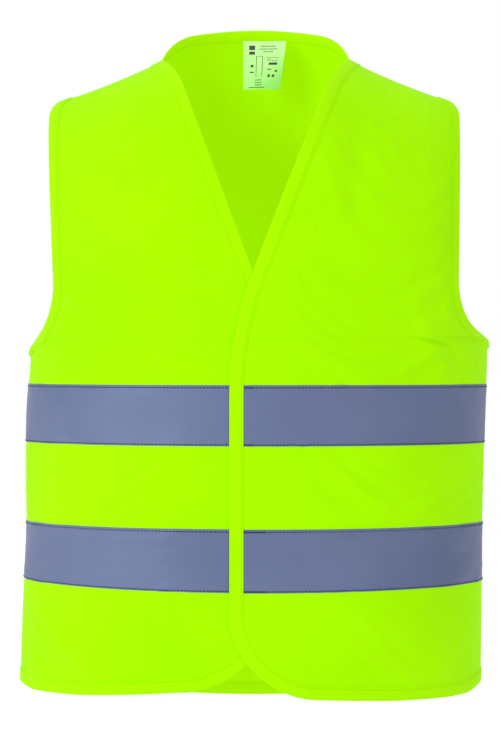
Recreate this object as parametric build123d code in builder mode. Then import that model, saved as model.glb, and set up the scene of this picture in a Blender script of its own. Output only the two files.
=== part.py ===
"""High visibility vest, filled out as if worn: two fronts that overlap at the middle, a back, edge
bindings, two bands of reflective tape, a hook-and-loop closure and a label inside the neck.

Frame: +Z up, the front faces -Y, +X is the wearer's left. The origin lies midway between the two
points where the shoulder seams meet the neck. Millimetres.
"""

from build123d import *
from functools import cache
from math import atan2, hypot, sqrt, tan
import os

# Cloth and trim thicknesses
CLOTH = 0.8
BINDING_WALL = 0.45
TAPE_THICKNESS = 0.5
PATCH_THICKNESS = 0.9
LABEL_THICKNESS = 0.3
LAYER_GAP = 0.05
BODY_GAP = 0.3

# The hollow torso form: straight sides and, above them, a dome up to the shoulders
HALF_WIDTH = 200.0
HALF_DEPTH = 117.0
STRAIGHT_TOP = -172.0
DRAW_IN_FROM = -140.0
FORM_BOTTOM = -620.0
PAST_SEAM = 6.0  # degrees
DOME_HEIGHTS = [45, 32, 20, 10, 1.5, -6, -13, -20, -27, -34, -46, -66, -90, -116, -144, -172]
DOME_WIDTH_RISE = 215.0  # the quarter ellipse that draws the sides in towards the shoulders
DOME_DEPTH_RISE = 157.5  # the quarter ellipse that carries chest and back over to the shoulders
SLOPE_STEP = 2.0
SHOULDER_FALL = 0.5  # the slope of the shoulder line where it leaves the neck
SHOULDER_EASE = 0.00115  # how it flattens further out, per millimetre
NECK_HALF_WIDTH = 82.0
NECK_HALF_DEPTH = 50.0

# Outlines, seen from the front: each point is (across, height)
NECK_POINT = (82.0, 1.5)
COLLARBONE = (61.2, -27.0)
COLLAR_BEND = (60.0, 28.0)
COLLAR_TOP = 34.5
V_POINT = -187.0
OUTER_LAP = 19.0
INNER_LAP = 12.5
CORNER_RADIUS = 76.0
FRONT_HEM = -542.0
BACK_HEM = -566.0
SHOULDER_TIP = (168.0, -32.6)
ARM_TOP = (176.5, -50.0)
ARM_BEND = (172.5, -190.0)
UNDERARM = -248.0
BEYOND = 280.0
OUTLINE_TOP = 80.0
NECK_TO_TOP = 45.0  # how far across the outline runs from the neck point up to its top
OVER_SHOULDER = 15.0  # how far the armhole's outline passes over the shoulder tip

# Trim
BINDING_WIDTH = 10.8
ARM_BINDING_WIDTH = 7.5  # seen from the front, where the cloth has turned half away
TAPE_WIDTH = 50.0
UPPER_TAPE_TOP = -281.0
LOWER_TAPE_TOP = -400.0
SEAM_RADIUS = 0.8
SEAM_END_GAP = 2.0
PATCH_WIDTH = 20.0
PATCH_HEIGHT = 50.0
UPPER_PATCH_TOP = -222.0
LOWER_PATCH_TOP = -341.0
LABEL_WIDTH = 38.0
LABEL_HEIGHT = 43.0
LABEL_CENTRE = 10.5
LABEL_TOP = 25.5
LABEL_Y = 45.2

# Layers, measured outwards from the inner face of the cloth
TAPE_FROM = CLOTH + LAYER_GAP
TAPE_TO = TAPE_FROM + TAPE_THICKNESS
RAW_EDGE = BINDING_WALL + LAYER_GAP
OVER_BINDING = BINDING_WALL + 2 * LAYER_GAP
SEAM_SPLIT = SEAM_RADIUS + BODY_GAP + LAYER_GAP

# The outer front is carried forward by what lies between the two fronts at the closure
CLOSURE_ROOM = 2 * (OVER_BINDING + PATCH_THICKNESS + LAYER_GAP) + BODY_GAP
LIFT = CLOTH + CLOSURE_ROOM

LEFT = 1
RIGHT = -1
FRONT = 1
BACK = -1
SIDES = {"left": LEFT, "right": RIGHT}
LAPS = {"left": OUTER_LAP, "right": INNER_LAP}
LIFTS = {"left": LIFT, "right": 0.0}
TAPE_TOPS = {"upper": UPPER_TAPE_TOP, "lower": LOWER_TAPE_TOP}
PATCH_TOPS = {"upper": UPPER_PATCH_TOP, "lower": LOWER_PATCH_TOP}


def half_width_at(height):
    """Half-width of the dome: the shoulder line, then the side drawn in."""
    fall = max(NECK_POINT[1] - height, 0)
    slope_there = sqrt(max(SHOULDER_FALL**2 - 4 * SHOULDER_EASE * fall, 0))
    shoulder = NECK_HALF_WIDTH + (SHOULDER_FALL - slope_there) / (2 * SHOULDER_EASE)
    risen = max(height - DRAW_IN_FROM, 0)
    side = HALF_WIDTH * sqrt(1 - (risen / DOME_WIDTH_RISE) ** 2)
    return min(shoulder, side)


def half_depth_at(height):
    """Half-depth of the dome at a height."""
    risen = max(height - DRAW_IN_FROM, 0)
    return max(NECK_HALF_DEPTH, HALF_DEPTH * sqrt(max(1 - (risen / DOME_DEPTH_RISE) ** 2, 0)))


def grown(half_size, height, growth):
    """A half-size of the dome, grown so that the cloth keeps its thickness where the dome slopes."""
    slope = (half_size(height) - half_size(height + SLOPE_STEP)) / SLOPE_STEP
    return half_size(height) + growth * hypot(1, slope)


def half_ring(height, facing, inner, outer):
    """The front or back half of one level section of the cloth, a little past the seams."""
    start = 90 * (1 + facing) - PAST_SEAM
    sweep = 180 + 2 * PAST_SEAM
    with BuildSketch(Plane.XY.offset(height)) as ring:
        with BuildLine():
            rims = []
            for growth in (inner, outer):
                width = grown(half_width_at, height, growth)
                depth = grown(half_depth_at, height, growth)
                rims.append(EllipticalCenterArc((0, 0), width, depth, start, arc_size=sweep))
            Line(rims[0] @ 0, rims[1] @ 0)
            Line(rims[0] @ 1, rims[1] @ 1)
        make_face()
    return ring.sketch


@cache
def half_form(facing, inner, outer):
    """Half of the torso's cloth between two growths of the form: the dome, then the straight sides."""
    with BuildPart() as half:
        for height in DOME_HEIGHTS:
            add(half_ring(height, facing, inner, outer))
        loft(ruled=True)
        add(half_ring(STRAIGHT_TOP, facing, inner, outer))
        extrude(amount=FORM_BOTTOM - STRAIGHT_TOP)
    return half.part


def front_area(side, lap, inset=0.0):
    """What the neck edge, front edge, rounded corner and hem of one front enclose."""
    neck = (side * NECK_POINT[0], NECK_POINT[1])
    collarbone = (side * COLLARBONE[0], COLLARBONE[1])
    lap_start = V_POINT - lap / tan(atan2(COLLARBONE[0], COLLARBONE[1] - V_POINT) / 2)
    with BuildSketch(Plane.XZ) as area:
        with BuildLine():
            v_edge = Line(collarbone, (0, V_POINT))
            TangentArc(collarbone, neck, tangent=-(v_edge % 0))
            lap_bend = TangentArc((0, V_POINT), (-side * lap, lap_start), tangent=v_edge % 1)
            front_edge = Line(lap_bend @ 1, (-side * lap, FRONT_HEM + CORNER_RADIUS))
            corner = JernArc(front_edge @ 1, (0, -1), CORNER_RADIUS, side * 90)
            Polyline(
                corner @ 1,
                (side * BEYOND, FRONT_HEM),
                (side * BEYOND, OUTLINE_TOP),
                (neck[0] + side * NECK_TO_TOP, OUTLINE_TOP),
                neck,
            )
        make_face()
        if inset:
            offset(amount=-inset, mode=Mode.REPLACE)
    return area.sketch


def back_area(inset=0.0):
    """What the collar and the hem of the back enclose."""
    neck_right = (-NECK_POINT[0], NECK_POINT[1])
    with BuildSketch(Plane.XZ) as area:
        with BuildLine():
            collar = ThreePointArc(
                (-COLLAR_BEND[0], COLLAR_BEND[1]), (0, COLLAR_TOP), COLLAR_BEND
            )
            TangentArc(collar @ 1, NECK_POINT, tangent=collar % 1)
            TangentArc(collar @ 0, neck_right, tangent=-(collar % 0))
            ThreePointArc((-HALF_WIDTH, FRONT_HEM), (0, BACK_HEM), (HALF_WIDTH, FRONT_HEM))
            for side, neck in ((LEFT, NECK_POINT), (RIGHT, neck_right)):
                Polyline(
                    neck,
                    (neck[0] + side * NECK_TO_TOP, OUTLINE_TOP),
                    (side * BEYOND, OUTLINE_TOP),
                    (side * BEYOND, FRONT_HEM),
                    (side * HALF_WIDTH, FRONT_HEM),
                )
        make_face()
        if inset:
            offset(amount=-inset, mode=Mode.REPLACE)
    return area.sketch


def armhole_area(side, outset=0.0):
    """The opening for one arm, carried on past the side of the torso."""
    tip = (side * SHOULDER_TIP[0], SHOULDER_TIP[1])
    underarm = (side * HALF_WIDTH, UNDERARM)
    with BuildSketch(Plane.XZ) as area:
        with BuildLine():
            edge = Line((side * ARM_TOP[0], ARM_TOP[1]), (side * ARM_BEND[0], ARM_BEND[1]))
            TangentArc(edge @ 0, tip, tangent=-(edge % 0))
            TangentArc(edge @ 1, underarm, tangent=edge % 1)
            Polyline(
                underarm,
                (side * BEYOND, UNDERARM),
                (side * BEYOND, tip[1] + OVER_SHOULDER),
                (tip[0], tip[1] + OVER_SHOULDER),
                tip,
            )
        make_face()
        if outset:
            offset(amount=outset, mode=Mode.REPLACE)
    return area.sketch


def band_area(top, height, from_x, to_x):
    """A rectangle seen from the front."""
    with BuildSketch(Plane.XZ) as area:
        with Locations(((from_x + to_x) / 2, top - height / 2)):
            Rectangle(abs(to_x - from_x), height)
    return area.sketch


def cut_piece(facing, inner, outer, wanted, *unwanted):
    """A layer of cloth in front of or behind the seams, cut to an outline."""
    with BuildPart() as piece:
        add(half_form(facing, inner, outer))
        with BuildSketch(Plane.XZ.offset(facing * SEAM_SPLIT)):
            add(wanted)
            for area in unwanted:
                add(area, mode=Mode.SUBTRACT)
        extrude(amount=facing * 2 * HALF_DEPTH, mode=Mode.INTERSECT)
    return piece


def bound_piece(facing, panel_area, wanted, *unwanted):
    """A binding folded over the raw edge of a panel, with the panel's room taken out of it."""
    wall = LAYER_GAP + BINDING_WALL
    room = cut_piece(facing, -LAYER_GAP, CLOTH + LAYER_GAP, *panel_area)
    with BuildPart() as piece:
        add(cut_piece(facing, -wall, CLOTH + wall, wanted, *unwanted).part)
        add(room.part, mode=Mode.SUBTRACT)
    return piece


def lifted(piece, lift):
    """Carries a piece of the outer front forward, clear of the inner front."""
    with BuildPart() as moved:
        add(Pos(0, -lift, 0) * piece.part)
        split(bisect_by=Plane.XZ.offset(SEAM_SPLIT), keep=Keep.TOP)
    return moved


def on_shoulder(side, along):
    """The middle of the cloth on the shoulder line, a distance across from the neck."""
    fall = SHOULDER_FALL * along - SHOULDER_EASE * along**2
    return (side * (NECK_HALF_WIDTH + along), 0, NECK_POINT[1] - fall + CLOTH / 2)


def keep(piece, label):
    """Names a finished piece and writes it."""
    piece.part.label = label
    export_step(piece.part, f"parts/{label}.step")


os.makedirs("parts", exist_ok=True)

raw_armholes = [armhole_area(side, RAW_EDGE) for side in SIDES.values()]

# Back: panel, neck and hem bindings
raw_back = back_area(RAW_EDGE)
back_panel = cut_piece(BACK, 0, CLOTH, raw_back, *raw_armholes)
keep(back_panel, "back_panel")

upper_half = band_area(OUTLINE_TOP, OUTLINE_TOP - V_POINT, -BEYOND, BEYOND)
bound_back = back_area(BINDING_WIDTH)
neck_binding = bound_piece(BACK, [raw_back], back_area() & upper_half, bound_back)
keep(neck_binding, "back_neck_binding")
hem_binding = bound_piece(BACK, [raw_back], back_area() - upper_half, bound_back)
keep(hem_binding, "back_hem_binding")

for name, top in TAPE_TOPS.items():
    band = band_area(top, TAPE_WIDTH, -BEYOND, BEYOND)
    tape = cut_piece(BACK, TAPE_FROM, TAPE_TO, band)
    keep(tape, f"back_{name}_tape")

# Fronts: panel, edge binding from neck to side seam, two tapes
for name, side in SIDES.items():
    lap = LAPS[name]
    lift = LIFTS[name]
    raw_front = front_area(side, lap, RAW_EDGE)
    front_panel = cut_piece(FRONT, 0, CLOTH, raw_front, *raw_armholes)
    keep(lifted(front_panel, lift), f"{name}_front_panel")
    edge_binding = bound_piece(
        FRONT, [raw_front, *raw_armholes], front_area(side, lap), front_area(side, lap, BINDING_WIDTH)
    )
    keep(lifted(edge_binding, lift), f"{name}_front_edge_binding")
    tape_start = side * (BINDING_WIDTH + BODY_GAP - lap)
    for level, top in TAPE_TOPS.items():
        band = band_area(top, TAPE_WIDTH, tape_start, side * BEYOND)
        tape = cut_piece(FRONT, TAPE_FROM, TAPE_TO, band)
        keep(lifted(tape, lift), f"{name}_front_{level}_tape")

# Armhole bindings, front and back halves
for name, side in SIDES.items():
    ring = armhole_area(side, ARM_BINDING_WIDTH) - armhole_area(side)
    back_half = bound_piece(BACK, [raw_back, *raw_armholes], ring)
    keep(back_half, f"{name}_armhole_back_binding")
    raw_front = front_area(side, LAPS[name], RAW_EDGE)
    front_half = bound_piece(FRONT, [raw_front, *raw_armholes], ring)
    keep(lifted(front_half, LIFTS[name]), f"{name}_armhole_front_binding")

# Shoulder and side seams: the joined allowances, as a round ridge along each seam
seam_end = SHOULDER_TIP[0] - NECK_HALF_WIDTH - ARM_BINDING_WIDTH - SEAM_END_GAP
seam_stations = (BINDING_WIDTH, (BINDING_WIDTH + seam_end) / 2, seam_end)
side_seam_top = UNDERARM - ARM_BINDING_WIDTH - SEAM_END_GAP
side_seam_bottom = FRONT_HEM + BINDING_WIDTH + SEAM_END_GAP
for name, side in SIDES.items():
    with BuildPart() as shoulder_seam:
        with BuildLine():
            ridge = ThreePointArc(*(on_shoulder(side, along) for along in seam_stations))
        with BuildSketch(Plane(origin=ridge @ 0, z_dir=ridge % 0)):
            Circle(SEAM_RADIUS)
        sweep()
    keep(shoulder_seam, f"{name}_shoulder_seam")
    with BuildPart() as side_seam:
        with BuildSketch(Plane.XY.offset(side_seam_top)):
            with Locations((side * (HALF_WIDTH + CLOTH / 2), 0)):
                Circle(SEAM_RADIUS)
        extrude(amount=side_seam_bottom - side_seam_top)
    keep(side_seam, f"{name}_side_seam")

# Closure: hooks inside the outer front, loops outside the inner front
patch_centre = (INNER_LAP - OUTER_LAP) / 2
patch_span = (patch_centre - PATCH_WIDTH / 2, patch_centre + PATCH_WIDTH / 2)
loop_face = CLOTH + OVER_BINDING
for level, top in PATCH_TOPS.items():
    patch = band_area(top, PATCH_HEIGHT, *patch_span)
    hooks = cut_piece(FRONT, -OVER_BINDING - PATCH_THICKNESS, -OVER_BINDING, patch)
    keep(lifted(hooks, LIFT), f"{level}_hook_patch")
    loops = cut_piece(FRONT, loop_face, loop_face + PATCH_THICKNESS, patch)
    keep(loops, f"{level}_loop_patch")

# Label, hanging from the lower edge of the neck binding
with BuildPart() as neck_label:
    with BuildSketch(Plane.XZ.offset(-LABEL_Y)):
        with Locations((LABEL_CENTRE, LABEL_TOP - LABEL_HEIGHT / 2)):
            Rectangle(LABEL_WIDTH, LABEL_HEIGHT)
    extrude(amount=LABEL_THICKNESS)
keep(neck_label, "neck_label")
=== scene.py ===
"""High visibility vest: three panels of thin fluorescent knit, filled out as if worn, with folded edge
bindings, sewn reflective tapes, a hook-and-loop closure, overlocked seams and a label inside the neck.

Metres, in the CAD model's frame: +Z up, the front faces -Y, +X is the wearer's left. Each panel is a grid
of points, with rows that run across the cloth from the shoulder down and columns that run from its inner
edge to its outer edge. The cloth is simulated on that grid, and all trim is built on the result.
"""

import math

import bmesh
import bpy
import numpy as np
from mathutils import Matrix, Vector


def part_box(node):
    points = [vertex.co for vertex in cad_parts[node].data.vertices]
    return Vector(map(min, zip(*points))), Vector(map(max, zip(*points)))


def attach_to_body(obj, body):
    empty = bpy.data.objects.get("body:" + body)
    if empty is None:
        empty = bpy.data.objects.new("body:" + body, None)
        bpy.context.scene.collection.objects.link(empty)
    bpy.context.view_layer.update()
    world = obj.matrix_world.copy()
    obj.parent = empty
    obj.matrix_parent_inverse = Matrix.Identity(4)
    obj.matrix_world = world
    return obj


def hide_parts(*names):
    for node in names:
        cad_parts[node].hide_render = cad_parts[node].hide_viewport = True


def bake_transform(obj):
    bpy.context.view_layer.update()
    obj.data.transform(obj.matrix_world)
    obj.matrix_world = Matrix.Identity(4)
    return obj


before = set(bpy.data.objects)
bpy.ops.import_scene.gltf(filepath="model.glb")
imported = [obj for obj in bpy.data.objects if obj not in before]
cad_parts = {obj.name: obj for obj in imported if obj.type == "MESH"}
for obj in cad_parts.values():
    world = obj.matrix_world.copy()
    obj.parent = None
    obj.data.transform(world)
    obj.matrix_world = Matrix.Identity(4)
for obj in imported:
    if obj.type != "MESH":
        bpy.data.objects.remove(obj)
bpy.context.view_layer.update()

# The torso that the cloth lies on, taken from the back panel
CAD_CLOTH = 0.0008
HALF_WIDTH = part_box("back_panel")[1].x - CAD_CLOTH
HALF_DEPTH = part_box("back_panel")[1].y - CAD_CLOTH
DOME_FOOT = -0.140
SHOULDER_FALL = 0.5
SHOULDER_EASE = 1.15
NECK_HALF_WIDTH = 0.082
NECK_HALF_DEPTH = 0.050

# Outlines, seen from the front: each point is (across, height)
NECK_POINT = (NECK_HALF_WIDTH, 0.0015)
COLLARBONE = (0.0612, -0.027)
COLLAR_BEND = (0.055, 0.0290)
COLLAR_TOP = 0.0350
V_POINT = -0.187
LAPS = {"left": 0.019, "right": 0.0125}
CORNER_RADIUS = 0.076
CORNER_TOP = -0.465
SIDE_HEM = -0.5375
BACK_HEM = -0.566
FRONT_HEMS = {
    "left": [(0.057, -0.5405), (0.117, -0.5435), (0.166, -0.5443), (0.1855, -0.5434), (0.200, SIDE_HEM)],
    "right": [(0.0635, -0.535), (0.097, -0.5377), (0.147, -0.5412), (0.186, -0.5412), (0.200, SIDE_HEM)],
}
SHOULDER_TIP = (0.168, -0.0326)
ARM_TOP = (0.1765, -0.050)
ARM_BEND = (0.1725, -0.190)
UNDERARM = (0.200, -0.248)

# Rows and columns of the cloth grids
DOME_ROWS = 26
CHEST_ROWS = 13
BODY_ROWS = 38
HEM_ROWS = 10
ROWS = DOME_ROWS + CHEST_ROWS + BODY_ROWS + HEM_ROWS
FRONT_COLUMNS = 50
BACK_COLUMNS = 68
NECK_SHARE = 0.47  # how much of the back's top row the collar takes
COLLAR_STAND = 0.55  # how straight up the collar stands
EASED_ROWS = DOME_ROWS * 0.7  # where the shoulders' hold and smoothing end
SMOOTHING_ROUNDS = 12
TAPE_ROWS = 15
FINENESS = 2  # how many faces of the finished panel go to one of the grid

# Thicknesses and widths
CLOTH = 0.0004
BINDING_WIDTH = 0.0108
BINDING_WALL = 0.0004
TAPE = 0.0003
LAYER = 0.00012
PATCH_WALL = 0.0007
ALLOWANCE = 0.010
LIFT = 0.0041  # how far the outer front stands off at the closure

# Stitching: distances in from an edge, gaps, and a stitch as (along, size, lift) rings
STITCH_IN = 0.0090
TOP_STITCH = 0.0022
BOTTOM_STITCH = 0.0012
TACK_COLUMNS = {"upper": 1.1, "lower": 2.8}
STITCH_GAP = 0.0005
CLOSE_GAP = 0.0003
STITCH_STATIONS = [(-0.5, 0.25, -0.6), (-0.36, 0.9, 0.1), (0, 1.0, 0.35), (0.36, 0.9, 0.1), (0.5, 0.25, -0.6)]
STITCH_SIDES = 6

# The cloth simulation
SLACK = 0.014
LEAST_HELD = 0.04
TORSO_GAP = 0.0012
DRAPE_FRAMES = 30
MOST_MOVED = 0.006
TOUCH = 0.001

# Where two pieces lie on each other, as distances from the middle of the cloth
INSIDE = -(CLOTH / 2 + 2 * LAYER)
BINDING_FACE = CLOTH / 2 + LAYER + BINDING_WALL + 0.00015
TAPE_FACE = CLOTH / 2 + LAYER + TAPE
PATCH_OUT = BINDING_FACE + 0.0003

SIDES = {"left": 1, "right": -1}


# ---- outlines


def arc_from(start, tangent, end, count):
    """Points on the arc that leaves start along tangent and ends at end."""
    chord = np.subtract(end, start)
    heading = math.atan2(tangent[1], tangent[0])
    bend = math.atan2(chord[1], chord[0]) - heading
    bend = (bend + math.pi) % (2 * math.pi) - math.pi
    radius = np.hypot(*chord) / (2 * math.sin(bend))
    turned = heading + 2 * bend * np.linspace(0, 1, count)
    across = start[0] + radius * (np.sin(turned) - math.sin(heading))
    height = start[1] - radius * (np.cos(turned) - math.cos(heading))
    return np.stack([across, height], 1)


def front_edge(lap):
    """The neck, V and front edge of the wearer's left front, from the neck point down."""
    v_up = np.array([COLLARBONE[0], COLLARBONE[1] - V_POINT])
    neck = arc_from(COLLARBONE, v_up, NECK_POINT, 30)[::-1]
    straight = [(COLLARBONE[0] * k, V_POINT + v_up[1] * k) for k in np.linspace(1, 0, 30)]
    lap_start = V_POINT - lap / math.tan(math.atan2(v_up[0], v_up[1]) / 2)
    bend = arc_from((0, V_POINT), -v_up, (-lap, lap_start), 20)
    return np.concatenate([neck, straight, bend, [(-lap, CORNER_TOP)]])


def armhole_edge():
    """The armhole of the wearer's left side, from the shoulder tip down, then the side seam."""
    up = np.subtract(ARM_TOP, ARM_BEND)
    top = arc_from(ARM_TOP, up, SHOULDER_TIP, 20)[::-1]
    straight = np.linspace(ARM_TOP, ARM_BEND, 30)[1:-1]
    bottom = arc_from(ARM_BEND, -up, UNDERARM, 30)
    return np.concatenate([top, straight, bottom, [(UNDERARM[0], SIDE_HEM)]])


def collar_height(across):
    """The height of the back neck's edge."""
    flat_radius = (COLLAR_BEND[0] ** 2 + (COLLAR_TOP - COLLAR_BEND[1]) ** 2) / (
        2 * (COLLAR_TOP - COLLAR_BEND[1])
    )
    across = np.abs(across)
    flat = COLLAR_TOP - flat_radius + np.sqrt(flat_radius**2 - across**2)
    slope = -COLLAR_BEND[0] / math.sqrt(flat_radius**2 - COLLAR_BEND[0] ** 2)
    bend = arc_from(COLLAR_BEND, (1, slope), NECK_POINT, 40)
    return np.where(across < COLLAR_BEND[0], flat, np.interp(across, bend[:, 0], bend[:, 1]))


def dome_rise(across):
    """How far the shoulder line stands above the foot of the dome."""
    out = np.abs(across) - NECK_POINT[0]
    return NECK_POINT[1] - SHOULDER_FALL * out + SHOULDER_EASE * np.maximum(out, 0) ** 2 - DOME_FOOT


def across_by_row(outline):
    """Where an outline crosses each row above the hem rows."""
    across, height = outline[:, 0], outline[:, 1]
    risen = np.clip((height - DOME_FOOT) / dome_rise(across), 0, 1)
    tilt = np.arcsin(risen)
    dome = tilt > 0
    return np.concatenate(
        [
            np.interp(-DOME_TILTS, -tilt[dome], across[dome]),
            np.interp(-FLAT_HEIGHTS, -height, across),
        ]
    )


DOME_TILTS = np.linspace(math.pi / 2, 0, DOME_ROWS + 1)[:-1]
FLAT_HEIGHTS = np.concatenate(
    [
        np.linspace(DOME_FOOT, UNDERARM[1], CHEST_ROWS + 1)[:-1],
        np.linspace(UNDERARM[1], CORNER_TOP, BODY_ROWS + 1),
    ]
)


def row_at(height):
    """The row, in fractions, at a height below the dome."""
    return DOME_ROWS + float(np.interp(-height, -FLAT_HEIGHTS, np.arange(len(FLAT_HEIGHTS))))


# ---- the cloth grids


def lower_edge(across, lap, hem):
    """The height of a front's lower edge: the rounded corner, then the hem to the side seam."""
    spots, heights = zip(*hem)
    drop = CORNER_TOP - heights[0]
    past = np.clip((CORNER_RADIUS - lap - across) / CORNER_RADIUS, 0, 1)
    corner = CORNER_TOP - drop * np.sqrt(1 - past**2)
    return np.where(past > 0, corner, np.interp(across, spots, heights))


def front_grid(lap, hem):
    """The wearer's left front at rest, before it is carried forward."""
    inner = across_by_row(front_edge(lap))
    outer = across_by_row(armhole_edge())
    share = np.linspace(0, 1, FRONT_COLUMNS + 1)
    grid = np.zeros((ROWS + 1, FRONT_COLUMNS + 1, 3))
    for row in range(ROWS + 1 - HEM_ROWS):
        ends = np.arcsin(np.clip([inner[row] / HALF_WIDTH, outer[row] / HALF_WIDTH], -1, 1))
        angle = ends[0] + (ends[1] - ends[0]) * share
        tilt = DOME_TILTS[row] if row < DOME_ROWS else 0
        across = HALF_WIDTH * np.sin(angle)
        height = DOME_FOOT + dome_rise(across) * math.sin(tilt)
        if row >= DOME_ROWS:
            height = np.full_like(across, FLAT_HEIGHTS[row - DOME_ROWS])
        grid[row] = np.stack([across, -HALF_DEPTH * np.cos(angle) * math.cos(tilt), height], 1)

    # Below the corner's top, the front edge goes on round the first half of the corner, and the last
    # row takes the other half and the hem
    half_turn = math.radians(45)
    drop = CORNER_TOP - hem[0][1]
    corner_end = CORNER_RADIUS * (1 - math.cos(half_turn)) - lap
    last_angle = math.asin(corner_end / HALF_WIDTH) * (1 - share) + math.pi / 2 * share
    last_height = lower_edge(HALF_WIDTH * np.sin(last_angle), lap, hem)
    for step in range(1, HEM_ROWS + 1):
        down = step / HEM_ROWS
        start = CORNER_RADIUS * (1 - math.cos(half_turn * down)) - lap
        angle = math.asin(start / HALF_WIDTH) * (1 - share) + math.pi / 2 * share
        height = CORNER_TOP + (last_height - CORNER_TOP) * down
        lag = CORNER_TOP - drop * math.sin(half_turn * down) - height[0]
        height = height + lag * (1 - share) ** 4
        across, depth = HALF_WIDTH * np.sin(angle), HALF_DEPTH * np.cos(angle)
        grid[ROWS - HEM_ROWS + step] = np.stack([across, -depth, height], 1)
    return grid


def back_grid():
    """The back at rest, from the wearer's right side to the left."""
    outer = across_by_row(armhole_edge())
    share = np.linspace(-1, 1, BACK_COLUMNS + 1)
    within = np.abs(share) < NECK_SHARE
    beta = np.clip(share / NECK_SHARE, -1, 1) * math.pi / 2
    beyond = (np.abs(share) - NECK_SHARE) / (1 - NECK_SHARE)
    ridge = np.sign(share) * (NECK_POINT[0] + beyond * (SHOULDER_TIP[0] - NECK_POINT[0]))
    top_across = np.where(within, NECK_POINT[0] * np.sin(beta), ridge)
    top_depth = np.where(within, NECK_HALF_DEPTH * np.cos(beta), 0)
    top_height = np.where(within, collar_height(top_across), DOME_FOOT + dome_rise(top_across))
    stand = COLLAR_STAND * np.where(within, (1 - (share / NECK_SHARE) ** 2) ** 2, 0)
    foot_limit = math.asin(outer[DOME_ROWS] / HALF_WIDTH)
    foot_share = np.sin(share * foot_limit) / math.sin(foot_limit)
    grid = np.zeros((ROWS + 1, BACK_COLUMNS + 1, 3))
    for row in range(ROWS + 1):
        if row < DOME_ROWS:
            down = 1 - DOME_TILTS[row] / (math.pi / 2)
            reach = math.sin(math.pi / 2 * down)
            mixed = top_across / SHOULDER_TIP[0] * (1 - down) + foot_share * down
            across = mixed * outer[row]
            foot = HALF_DEPTH * np.sqrt(1 - (across / HALF_WIDTH) ** 2)
            fallen = stand * down + (1 - stand) * (1 - math.cos(math.pi / 2 * down))
            depth = top_depth + (foot - top_depth) * reach
            height = top_height - (top_height - DOME_FOOT) * fallen
        else:
            index = min(row - DOME_ROWS, len(FLAT_HEIGHTS) - 1)
            angle = share * math.asin(min(outer[DOME_ROWS + index] / HALF_WIDTH, 1))
            across = HALF_WIDTH * np.sin(angle)
            depth = HALF_DEPTH * np.cos(angle)
            height = np.full_like(across, FLAT_HEIGHTS[index])
            past = (row - DOME_ROWS - index) / HEM_ROWS
            hem = SIDE_HEM + (BACK_HEM - SIDE_HEM) * (1 - (across / HALF_WIDTH) ** 2)
            height += (hem - CORNER_TOP) * past
        grid[row] = np.stack([across, depth, height], 1)
    relaxed = grid.copy()
    for _ in range(SMOOTHING_ROUNDS):
        spread = relaxed.copy()
        spread[1:-1, 1:-1] = (
            relaxed[:-2, 1:-1] + relaxed[2:, 1:-1] + relaxed[1:-1, :-2] + relaxed[1:-1, 2:]
        ) / 4
        spread[DOME_ROWS:] = relaxed[DOME_ROWS:]
        relaxed = spread
    calm = np.clip(1 - np.arange(ROWS + 1) / EASED_ROWS, 0, 1)[:, None, None]
    return grid + (relaxed - grid) * calm


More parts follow.
